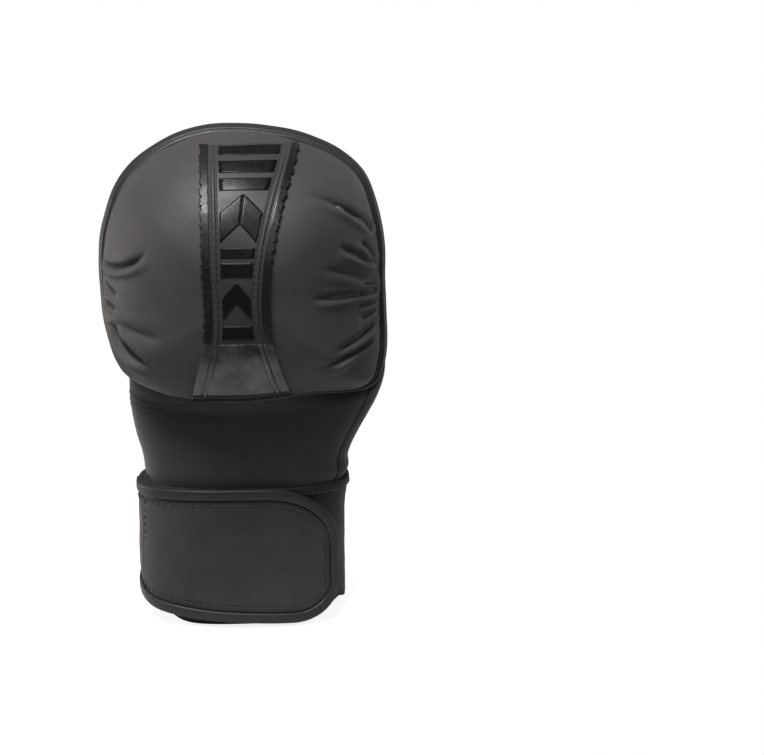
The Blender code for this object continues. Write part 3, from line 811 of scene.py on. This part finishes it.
def neck_top_table():
    """Where the hand's surface reaches the pad's rim from below, by angle round the hand."""
    angles = np.arange(176, 373, 1.0)
    z = np.linspace(0.105, 0.150, 400)
    z_grid, a_grid = np.meshgrid(z, angles)
    z_grid, a_grid = z_grid.reshape(len(angles), -1), a_grid.reshape(len(angles), -1)
    place = hand_surface(a_grid, z_grid, 0)
    turn = np.degrees(np.arctan2(place[..., 2] - DOME_Z, place[..., 0])) % 360
    inside = np.hypot(place[..., 0], place[..., 2] - DOME_Z) < rim_at(turn)[0] - 0.0022
    top = z[np.argmax(inside, axis=1)]
    kernel = np.ones(9) / 9
    return angles, np.convolve(np.pad(top, 4, "edge"), kernel, "valid")


NECK_ANGLES, NECK_TOPS = neck_top_table()


def neck_top(angle):
    return np.interp(angle, NECK_ANGLES, NECK_TOPS)


def side_top(angle):
    """Upper edge of the thumb side's panel: under the pad, then down round the thumb hole."""
    fall = smooth_part((angle - 360) / 18)
    return np.minimum(neck_top(angle), neck_top(360)) * (1 - fall) + GUSSET_TOP * fall


def tucked(angle, z, deep):
    """The hand's surface, drawn in behind the pad's rim where it comes near it."""
    place = hand_surface(angle, z, deep)
    turn = np.degrees(np.arctan2(place[..., 2] - DOME_Z, place[..., 0])) % 360
    aim = rim_at(turn)[1] + 0.0045 + deep
    near = smooth_part((z - neck_top(angle) + 0.011) / 0.011)
    ends = smooth_part((angle - 181) / 22) * smooth_part((374 - angle) / 10)
    place[..., 1] += (aim - place[..., 1]) * near * ends
    return place


def bend_neck(piece):
    """Bakes the piece's placement into its points; it is tied to no body."""
    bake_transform(piece)


def panel(name, angles, tops, look, body, nodes, low=NECK_LOW, puff=0.0006, wrinkles=0.0, rows=70):
    """A sewn panel of the hand, from a height up to its top at each angle. Its sides roll in at the seams."""
    tops = np.broadcast_to(tops, angles.shape)
    parts = edge_steps(0, 1, rows, (0.0, 0.004, 0.010, 0.020, 0.034))
    part_grid, a_grid = crossed(parts, angles)
    z_grid = low + (tops[None, :] - low) * part_grid
    side = np.minimum(a_grid - angles[0], angles[-1] - a_grid) * DEGREE_WIDE
    end = np.minimum(z_grid - low, tops[None, :] - z_grid)
    roll = rounded_off(np.minimum(side, end + 0.0004) / 0.0012)
    sink = 0.6 * (PANEL_THICK / 2) * (1 - roll) - puff * smooth_part(side / 0.012)
    if wrinkles:
        ripple = wobble(z_grid * 160 + 0.04 * a_grid, 2.0, (1, 2.3, 4.1)) * np.sin(a_grid * 0.11 + z_grid * 90)
        sink = sink - wrinkles * ripple * smooth_part(side / 0.006)
    outer = tucked(a_grid, z_grid, sink)
    inner = tucked(a_grid, z_grid, PANEL_THICK / 2 * (1 + roll))
    thick_sheet(name, outer, inner, look, body, *nodes)


FINE_EDGE = (0.0, 0.15, 0.4, 0.8, 1.4, 2.2)      # degrees, where a panel's side rolls in
FINE_END = (0.0, 0.0002, 0.0005, 0.0010, 0.0017)


def make_panels():
    knit = 0.0003
    angles = edge_steps(179.95, DORSAL_SEAM - 0.1, 160, FINE_EDGE)
    tops = neck_top(angles) + 0.012 * smooth_part((206 - angles) / 22)
    panel("back_panel_knit", angles, tops, "neoprene", bend_neck, ["back_panel"], puff=knit)
    angles = edge_steps(DORSAL_SEAM + 0.1, THUMB_EDGE, 130, FINE_EDGE)
    panel("thumb_side_knit", angles, side_top(angles), "gusset", bend_neck,
          ["thumb_gusset", "thumb_side_panel", "wrist_sleeve"], puff=knit)
    angles = edge_steps(THUMB_EDGE - 359.9, 150.7, 90, FINE_EDGE)
    panel("palm_heel_leather", angles, GUSSET_TOP, "palm", bend_neck, ["palm_heel_panel"], wrinkles=0.0005)
    panel("palm_leather_panel", angles, PALM_TOP, "palm", "hand", ["palm_panel"], low=GUSSET_TOP + 0.0002,
          wrinkles=0.0009)
    angles = edge_steps(150.8, 180.0, 36, FINE_EDGE)
    panel("little_side_knit", angles, PALM_TOP, "neoprene", bend_neck, ["little_side_panel"], puff=knit,
          rows=90)


def make_palm_pad():
    low, channels = 0.0935, 0.0110
    angles = edge_steps(74, 132, 60, FINE_EDGE)
    z = edge_steps(low, 0.1260, 40, FINE_END)
    z_grid, a_grid = crossed(z, angles)
    side = np.minimum(a_grid - angles[0], angles[-1] - a_grid) * DEGREE_WIDE
    roll = rounded_off(np.minimum(side, np.minimum(z_grid - z[0], z[-1] - z_grid)) / 0.004)
    quilt = 0.0005 * bell(np.sin((z_grid - low) * math.pi / channels) / 0.22)
    outer = hand_surface(a_grid, z_grid, -0.0008 - 0.0022 * roll + quilt)
    made = thick_sheet("palm_heel_cushion", outer, hand_surface(a_grid, z_grid, -0.0007), "palm", "hand",
                       "palm_heel_pad")


def edge_tube(name, angle, z, half_out, half_up, nodes, deep=PANEL_THICK / 2, groove=(35, 0.12)):
    """A bound edge that follows angles and heights on the hand's surface."""
    middle = tucked(angle, z, deep)
    outward = unit(hand_surface(angle, z, deep - 0.002) - hand_surface(angle, z, deep))
    across = np.cross(unit(np.gradient(middle, axis=0)), outward)
    a, b = rounded_section(half_out, half_up, 24, 0.62, groove)
    tube(name, swept(middle, outward, across, a, b), "binding", "hand", *nodes)


def make_hand_edges():
    turn = np.linspace(0, math.pi / 2, 24)
    corner_wide, corner_tall, lift = 12, 0.010, 0.0008
    along_low = np.linspace(356, THUMB_EDGE - corner_wide, 140)
    bend_z = GUSSET_TOP + lift + corner_tall * (1 - np.cos(turn))[1:]
    up = np.linspace(bend_z[-1], PALM_TOP + 0.0015, 60)[1:]
    angle = np.concatenate((along_low, THUMB_EDGE - corner_wide * (1 - np.sin(turn)[1:]),
                            np.full_like(up, THUMB_EDGE)))
    z = np.concatenate((side_top(along_low) + lift, bend_z, up))
    edge_tube("thumb_hole_bound_lip", angle, z, 0.0021, 0.0020, ["thumb_hole_lip"])
    angle = np.linspace(60.5, 177.5, 160)
    edge_tube("palm_bound_edge", angle, np.full_like(angle, PALM_TOP + 0.0020), 0.0021, 0.0021,
              ["palm_edge_binding"])
    angle = np.linspace(184, 290, 180)
    for i, (low, nodes) in enumerate(((0.1130, ["back_seam_binding"]), (0.1158, []), (0.1192, []))):
        height = low + 0.0006 * np.sin(np.radians(angle) * 3) + 0.0022 * smooth_part((228 - angle) / 40)
        sunk = 0.0005 + 0.0030 * smooth_part((angle - 215 - 12 * i) / 40)
        edge_tube(f"back_seam_roll_{i + 1}", angle, height, 0.0009, 0.0010, nodes, deep=sunk, groove=None)


def make_palm_stitches():
    """Seams of the palm: along its two sides, round the heel pad and across under the palm."""
    thumb, little = 64.5, 148.0
    up, across = np.linspace(0.093, 0.166, 60), np.linspace(thumb, little, 80)
    wave = 0.004 * np.sin(np.linspace(0, 3, 80))
    for name, angle, z in (("thumb_edge", thumb, up), ("little_edge", little, up),
                           ("top_edge", across, PALM_TOP - 0.0030), ("cross_low", across, GUSSET_TOP - 0.0022),
                           ("cross_high", across, 0.1350 + wave)):
        angle, z = np.broadcast_arrays(angle, z)
        path = hand_surface(angle, z, -0.0007)
        stitches(f"palm_stitch_{name}", path, path - hand_surface(angle, z, 0.003), "hand", radius=FINE_THREAD)


# Cuff and strap

def cuff_rise(angle):
    """How far the cuff's lower edge curls up either side of the back of the wrist."""
    return 0.0092 * bell((angle - 206) / 19) + 0.0088 * bell((angle - 338) / 25)


def on_cuff(angle, z, out):
    """Points that stand out from the cuff's surface."""
    return stacked(*oval(angle, CUFF_HALF_X + out, CUFF_HALF_Y + out), z)


def make_cuff():
    angles = even_angles(90 + SLIT_HALF_ANGLE, 450 - SLIT_HALF_ANGLE, 320)
    z = edge_steps(CUFF_BINDING - 0.001, CUFF_HEIGHT - CUFF_BINDING + 0.001, 40, FINE_END)
    z_grid, a_grid = crossed(z, angles)
    z_grid = z_grid + cuff_rise(a_grid) * (1 - smooth_part(z_grid / 0.030))
    flare = 0.0016 * smooth_part((z_grid - 0.056) / 0.016)
    soft = flare + 0.00015 * wobble(a_grid * 0.05 + z_grid * 60, 1.0)
    for name, outside, inside, look, node_name in (
            ("cuff_wall", 0.0004, SHELL_THICK, "gusset", "cuff_shell"),
            ("cuff_lining_cloth", SHELL_THICK + 0.0004, SHELL_THICK + LINING_THICK, "lining", "cuff_lining")):
        thick_sheet(name, on_cuff(a_grid, z_grid, soft - outside), on_cuff(a_grid, z_grid, flare - inside),
                    look, "cuff", node_name)
    deep = (SHELL_THICK + LINING_THICK) / 2
    a, b = rounded_section(deep + 0.0006, CUFF_BINDING / 2, 28, 0.55)
    for name, low, node_name in (("cuff_bottom_bound", 0.0, "cuff_bottom_binding"),
                                 ("cuff_top_bound", CUFF_HEIGHT - CUFF_BINDING, "cuff_top_binding")):
        level = low + CUFF_BINDING / 2 + (0 if low else cuff_rise(angles))
        middle = on_cuff(angles, level, (0.0016 if low else -0.0010) - deep)
        outward = unit(np.cross(np.gradient(middle, axis=0), UP))
        tube(name, swept(middle, outward, UP, a, b), "binding", "cuff", node_name)
        line = middle + outward * (deep + 0.0004)
        line[:, 2] += (-1 if low else 1) * (CUFF_BINDING / 2 - 0.0012)
        stitches(name + "_stitch", line, outward, "cuff")


def make_cuff_patches():
    inset = SHELL_THICK + LINING_THICK + 0.0006
    for name, out, thick, start, end, low, high, look, node_name in (
            ("loop_field_patch", 0.0010, 0.0010, *LOOP_FIELD, "fuzz", "loop_patch"),
            ("entry_gusset_web", -inset, 0.0012, *GUSSET_WEB, "lining", "entry_gusset")):
        z_grid, a_grid = crossed(np.linspace(low, high, 50), even_angles(start, end, 90))
        fuzz = 0.00012 * wobble(a_grid * 9, 1.0, (3, 8)) * wobble(z_grid * 3000, 2.0, (1, 3))
        thick_sheet(name, on_cuff(a_grid, z_grid, out + fuzz), on_cuff(a_grid, z_grid, out - thick), look,
                    "cuff", node_name)


STRAP_A, STRAP_S = oval_lengths(STRAP_START_ANGLE, STRAP_END_ANGLE, STRAP_HALF_X, STRAP_HALF_Y)
STRAP_LENGTH = STRAP_S[-1]


def strap_surface(along, z, deep):
    """A point of the strap: length along it from the hinge line, height, depth under its outer face."""
    along = np.asarray(along)
    angle = np.where(along < 0, STRAP_START_ANGLE + along / 0.00055, np.interp(along, STRAP_S, STRAP_A))
    return stacked(*oval(angle, STRAP_HALF_X - deep, STRAP_HALF_Y - deep), z)


def line_height(line, along):
    """A smooth reading of an edge line, given as (length along the strap, height)."""
    return smooth_table(np.array(line), np.asarray(along, float), 1)


def corner_rise(along, margin, wide, tall):
    """How far an edge has turned in at the tongue's rounded end."""
    part = np.clip((along - (STRAP_LENGTH - wide)) / (wide - margin), 0, 1)
    return (tall - margin) * (1 - np.sqrt(1 - part**2))


def strap_edges(along, margin):
    """Lower and upper height of the strap at a length along it, inside a margin."""
    low = line_height(STRAP_LOW_LINE, along) + margin + corner_rise(along, margin, *LOW_CORNER)
    high = line_height(STRAP_HIGH_LINE, along) - margin - corner_rise(along, margin, *HIGH_CORNER)
    return low, high


def outline(margin, start):
    """(along, z) round the tongue's free edge, a margin inside it."""
    reach = STRAP_LENGTH - margin
    turn = np.linspace(0, math.pi / 2, 40)[1:]
    runs = []
    for corner in (LOW_CORNER, HIGH_CORNER):
        straight = STRAP_LENGTH - corner[0]
        bend = straight + (corner[0] - margin) * np.sin(turn)
        runs.append(np.concatenate((np.linspace(start, straight, 90), bend)))
    low = strap_edges(runs[0], margin)[0]
    high = strap_edges(runs[1], margin)[1]
    side = np.linspace(low[-1], high[-1], 16)[1:-1]
    out_s = np.concatenate((runs[0], np.full_like(side, reach), runs[1][::-1]))
    return out_s, np.concatenate((low, side, high[::-1]))


def bend_strap(piece):
    """Bakes the piece's placement into its points; it is tied to no body."""
    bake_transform(piece)


def strap_stitches(name, along, z, deep, radius):
    path = strap_surface(along, z, deep)
    stitches(f"strap_{name}", path, unit(path - strap_surface(along, z, 0.003)), bend_strap, radius=radius)


def make_strap():
    start = -0.0006
    edge_s, edge_z = outline(0, start)
    inner_s, inner_z = outline(STRAP_EDGE, start)
    share, deep = rounded_section(0.5, (STRAP_THICK + 0.0008) / 2, 32, 0.5)
    share = share + 0.5
    s = edge_s[:, None] * (1 - share) + inner_s[:, None] * share
    z = edge_z[:, None] * (1 - share) + inner_z[:, None] * share
    tube("strap_bound_edge", strap_surface(s, z, (STRAP_THICK - 0.0008) / 2 - deep), "rim", bend_strap,
         "strap_binding")

    margin = STRAP_EDGE - 0.0006
    corner = HIGH_CORNER[0]
    straight = STRAP_LENGTH - corner
    turn = np.linspace(0, math.pi / 2, 80)[1:]
    s = np.concatenate((np.linspace(start, straight, 150), straight + (corner - margin) * np.sin(turn)))
    low, high = strap_edges(s, margin)
    part = np.concatenate(([0, 0.004, 0.012, 0.025], np.linspace(0.045, 0.955, 60), [0.975, 0.988, 0.996, 1]))
    z = low * (1 - part[:, None]) + high * part[:, None]
    near = np.minimum(np.minimum(z - low, high - z), np.maximum(STRAP_LENGTH - margin - s, 0))
    puff = 0.0008 * smooth_part(near / 0.009) - 0.0007 * bell(near / 0.0009)
    dents = wobble(s * 62 + z * 34, 1.0, (1, 2.3, 3.9)) + 0.8 * wobble(z * 110 - s * 22, 2.5, (1, 1.9, 3.1))
    seam = 0.0007 * bell((s - STRAP_SEAM) / 0.0008) + 0.0003 * smooth_part((STRAP_SEAM - s) / 0.001)
    soft = 0.00035 * dents * smooth_part(near / 0.01) - 0.00035 * bell((near - 0.0036) / 0.0005) - seam
    face = thick_sheet("strap_leather_face", strap_surface(s, z, 0.0005 - puff - soft),
                       strap_surface(s, z, STRAP_THICK - 0.0002), "strap", bend_strap, "strap_face")
    strap_stitches("stitch_outer", *outline(STRAP_EDGE - 0.0010, 0.003), -0.0002, 0.0004)
    strap_stitches("stitch_inner", *outline(STRAP_EDGE + 0.0029, 0.003), 0.0002, 0.0004)
    z = np.linspace(0.019, 0.068, 80)
    strap_stitches("cross_stitch", np.full_like(z, STRAP_SEAM + 0.0022), z, -0.0001, FINE_THREAD)

    z, s = crossed(np.linspace(0.020, 0.056, 40), np.linspace(STRAP_LENGTH - 0.048, STRAP_LENGTH - 0.0085, 60))
    thick_sheet("hook_field_patch", strap_surface(s, z, STRAP_THICK + 0.0001),
                strap_surface(s, z, STRAP_THICK + 0.0010), "fuzz", "strap", "hook_patch")


def make_strap_root():
    """The strap's sewn end, from the palm-side slit to the hinge line."""
    angles = even_angles(100, 180.6, 130)
    low, top = 0.0060, STRAP_HIGH_LINE[0][1]
    floor = low + (STRAP_LOW_LINE[0][1] - low) * smooth_part((angles - 130) / 50)
    part_grid, a_grid = crossed(edge_steps(0, 1, 60, (0.0, 0.004, 0.010, 0.018, 0.028, 0.042)), angles)
    z_grid = floor + (top - floor) * part_grid
    near = np.minimum(z_grid - floor, top - z_grid)
    roll = rounded_off(near / 0.0022) * rounded_off((a_grid - angles[0]) / 6)
    line = bell((near - STRAP_EDGE) / 0.0006)
    sink = 0.0014 * (1 - roll) + 0.0005 * line - 0.0003 * smooth_part(1 - near / STRAP_EDGE)
    outer = stacked(*oval(a_grid, STRAP_HALF_X - sink, STRAP_HALF_Y - sink), z_grid)
    thick = STRAP_HALF_X - CUFF_HALF_X - 0.0008
    inner = stacked(*oval(a_grid, STRAP_HALF_X - thick, STRAP_HALF_Y - thick), z_grid)
    thick_sheet("strap_root_leather", outer, inner, "strap", "cuff", "strap_root")
    for name, level in (("low", floor + STRAP_EDGE), ("high", top - STRAP_EDGE)):
        path = stacked(*oval(angles, STRAP_HALF_X + 0.0001, STRAP_HALF_Y + 0.0001), level)
        outward = unit(np.cross(np.gradient(path, axis=0), UP))
        stitches(f"root_stitch_{name}", path, outward, "cuff", radius=FINE_THREAD)


# Finger loops


def make_loops():
    """Four finger sleeves with a hem at each end, and the tabs that sew them to the pad's lining."""
    turns = np.linspace(0, 360, 96, endpoint=False)
    palm_side = (1 + np.sin(np.radians(turns))) / 2
    a, b = rounded_section(LOOP_THICK / 2 + 0.0003, 0.0013, 16, 0.7)
    for name, (centre_x, centre_y, low) in LOOPS.items():
        def around(deep, z):
            x, y = oval(turns, LOOP_HALF_X - deep, LOOP_HALF_Y - deep, LOOP_POWER)
            return stacked(x + centre_x, y + centre_y, z)

        body = name.replace("_loop", "_sling")
        bottom = low + 0.0022 * palm_side
        top = low + LOOP_TALL - 0.0030 * palm_side
        parts = edge_steps(0, 1, 26, (0.0, 0.01, 0.03, 0.06))[:, None]
        z_grid = bottom * (1 - parts) + top * parts
        sag = 0.0005 * np.sin(np.radians(turns) * 3 + z_grid * 260) + 0.0005 * np.sin(math.pi * parts)
        thick_sheet(name + "_cloth", around(0.0003 + sag, z_grid), around(LOOP_THICK + sag, z_grid), "lining",
                    body, name, wrap=True)
        for end, level in (("low", bottom), ("high", top)):
            middle = around(LOOP_THICK / 2, level)
            outward = unit((middle - (centre_x, centre_y, 0)) * (1, 1, 0))
            tube(f"{name}_hem_{end}", swept(middle, outward, UP, a, b), "binding", body, closed=True)
        make_loop_tab(name, centre_x, centre_y - LOOP_HALF_Y, low)


def make_loop_tab(name, centre_x, back_y, low):
    """A strip sewn flat to the lining, which turns out to the sleeve's lower back edge."""
    part, across = crossed(np.linspace(0, 1, 20), np.linspace(-1, 1, 16))
    x = centre_x + 0.0078 * across
    z = low - 0.0085 + 0.0100 * part
    lining_y = dome_base(*dome_place(x, z, inner=True), inner=True)[..., 1]
    turned = smooth_part((part - 0.35) / 0.65)
    outer = stacked(x, (lining_y + 0.0010) * (1 - turned) + (back_y + 0.0006) * turned, z)
    thick_sheet(name + "_tab", outer, outer + (0, -0.0011, 0.0003), "binding", "hand")


def finish_cad_nodes():
    foam = leather("foam_skin", (0.10, 0.10, 0.11), 0.9, 700, 0.5)
    for name in ("pad_soft_foam", "pad_dense_foam"):
        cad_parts[name].data.materials.clear()
        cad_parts[name].data.materials.append(foam)


# Stage

CAMERA_AWAY = 0.90
CAMERA_UP = 12
CAMERA_AIM_Z = 0.130
CAMERA_LENS = 79.9
CAMERA_PAN = 4.73
CAMERA_DIP = 0.25            # degrees below the line to the glove
FLOOR_RADIUS = 0.24
LAMPS = (                    # name, place, size, power, colour
    ("key", (-0.27, -0.45, 1.35), 0.6, 31),
    ("gloss", (0.45, -1.0, 0.95), 0.2, 1.8),
    ("side", (-1.2, 0.1, 0.45), 0.7, 3.6, (1.0, 0.88, 0.78)),
    ("left_edge", (-0.95, 0.55, 0.12), 0.5, 2, (1.0, 0.96, 0.92)),
    ("right_edge", (0.95, 0.60, 0.14), 0.5, 0.8, (0.88, 0.93, 1.0)),
)


def seen_by_camera(tree, socket, low, high):
    """A strength that differs between what is seen straight and what lights the glove."""
    path = tree.nodes.new("ShaderNodeLightPath")
    tree.links.new(ramp(tree, path.outputs["Is Camera Ray"], low, high, 0, 1), socket)


def make_world():
    """White behind the glove, and a weaker even light on it."""
    world = bpy.data.worlds.new("soft_studio")
    world.use_nodes = True
    background = world.node_tree.nodes["Background"]
    background.inputs["Color"].default_value = (1, 1, 1, 1)
    seen_by_camera(world.node_tree, background.inputs["Strength"], 0.12, 1.0)
    bpy.context.scene.world = world


def make_lamp(name, place, size, power, colour=(1, 1, 1)):
    data = bpy.data.lights.new(name, "AREA")
    data.color = colour
    data.size = size
    data.energy = power
    lamp = new_object(name, data)
    lamp.location = place
    lamp.rotation_mode = "QUATERNION"
    lamp.rotation_quaternion = (Vector((0, 0, 0.12)) - Vector(place)).to_track_quat("-Z", "Y")


def make_stage():
    bpy.context.scene.view_settings.view_transform = "Standard"
    turn = np.linspace(0, 2 * math.pi, 96, endpoint=False)
    disc = stacked(FLOOR_RADIUS * np.cos(turn), FLOOR_RADIUS * np.sin(turn), -0.0002)
    data = bpy.data.meshes.new("floor")
    data.from_pydata(disc.tolist(), [], [tuple(range(len(disc)))])
    paint, tree, shader = new_material("pale_floor", (0.62, 0.62, 0.62), 0.8)
    shader.inputs["Emission Color"].default_value = (1, 1, 1, 1)
    seen_by_camera(tree, shader.inputs["Emission Strength"], 0, 0.86)
    data.materials.append(paint)
    new_object("floor", data)
    make_world()
    for lamp in LAMPS:
        make_lamp(*lamp)


def make_camera():
    data = bpy.data.cameras.new("camera")
    data.lens = CAMERA_LENS
    camera = new_object("camera", data)
    up = math.radians(CAMERA_UP)
    camera.location = (0, WRIST_Y - CAMERA_AWAY * math.cos(up), CAMERA_AIM_Z + CAMERA_AWAY * math.sin(up))
    camera.rotation_euler = (math.pi / 2 - up - math.radians(CAMERA_DIP), 0, -math.radians(CAMERA_PAN))
    bpy.context.scene.camera = camera


make_camera()
make_stage()
make_cover()
make_pad_lining()
make_rim()
make_band()
make_band_stitches()
make_bars()
make_blocks()
make_label()
make_panels()
make_palm_pad()
make_hand_edges()
make_palm_stitches()
make_cuff()
make_cuff_patches()
make_strap()
make_strap_root()
make_loops()
finish_cad_nodes()
